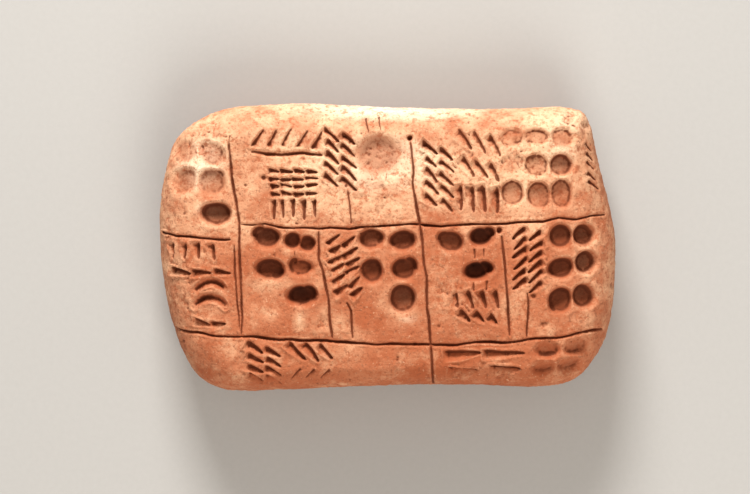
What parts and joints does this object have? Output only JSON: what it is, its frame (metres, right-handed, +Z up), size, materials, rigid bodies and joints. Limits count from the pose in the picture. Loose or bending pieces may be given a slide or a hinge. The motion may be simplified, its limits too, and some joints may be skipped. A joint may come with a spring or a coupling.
{
  "type": "cuneiform tablet",
  "caption": "Pillow-shaped clay tablet that lies on its back, with ruled cases, round number marks and rows of reed strokes pressed into its face.",
  "frame": {"origin": "on the surface that the tablet rests on, under the centre of its box", "axes": "+X along the rows of marks towards the right end, +Y towards the top edge, +Z up out of the marked face"},
  "size_m": [0.091, 0.0572, 0.021],
  "materials": {
    "clay": "matt dried clay, finely grained, with brown dirt in the marks"
  },
  "bodies": {
    "root": {"clay_tablet": "clay"}
  },
  "joints": []
}
